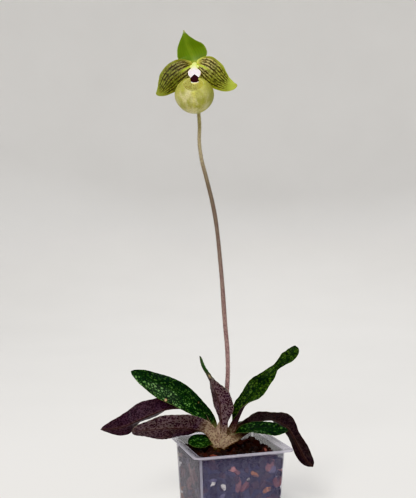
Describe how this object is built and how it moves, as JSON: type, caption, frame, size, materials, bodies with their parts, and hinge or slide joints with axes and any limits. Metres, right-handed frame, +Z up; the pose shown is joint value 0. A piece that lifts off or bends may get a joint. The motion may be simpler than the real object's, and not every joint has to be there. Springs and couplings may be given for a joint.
{
  "type": "potted paphiopedilum orchid",
  "caption": "Slipper orchid in flower: a pouched green flower on a tall hairy stem above mottled leaves with purple undersides, growing in bark mix in a clear square pot.",
  "frame": {"origin": "centre of the pot's base, on the surface it stands on", "axes": "+Z up, X and Y along the pot's sides, -Y the side nearest to the way the flower faces; the plant is turned 17.5 degrees clockwise in the pot, seen from above"},
  "size_m": [0.2248, 0.1307, 0.4989],
  "materials": {
    "pot": "clear to milky thin polypropylene, satin",
    "potting_mix": "damp bark and pumice pieces",
    "root": "felted fleshy roots",
    "crown": "pale leaf bases speckled with purple",
    "scape": "hairy stem, green under purple-brown",
    "leaf_green": "satin, dark and light green in a net",
    "leaf_purple": "satin, densely dotted with purple",
    "ovary": "ribbed and hairy",
    "bract": "green with purple dots",
    "sepal": "satin green with fine veins",
    "petal": "satin yellow-green with a net of maroon veins",
    "pouch": "waxy yellow-green with faint veins",
    "column": "waxy cream",
    "staminode": "waxy white with a maroon blotch"
  },
  "bodies": {
    "root": {"pot": "pot", "potting_mix": "potting_mix", "roots": "root", "crown": "crown", "scape": "scape", "leaf_centre_upright": "leaf_purple", "leaf_left_upper": "leaf_green", "leaf_right_upper": "leaf_green", "leaf_left_far": "leaf_purple", "leaf_right_arching": "leaf_purple", "leaf_left_front": "leaf_purple", "leaf_right_lower": "leaf_green", "leaf_front_small": "leaf_green", "ovary": "ovary", "bract": "bract", "dorsal_sepal": "sepal", "synsepal": "sepal", "petal_left": "petal", "petal_right": "petal", "pouch": "pouch", "column": "column", "staminode": "staminode"}
  },
  "joints": []
}
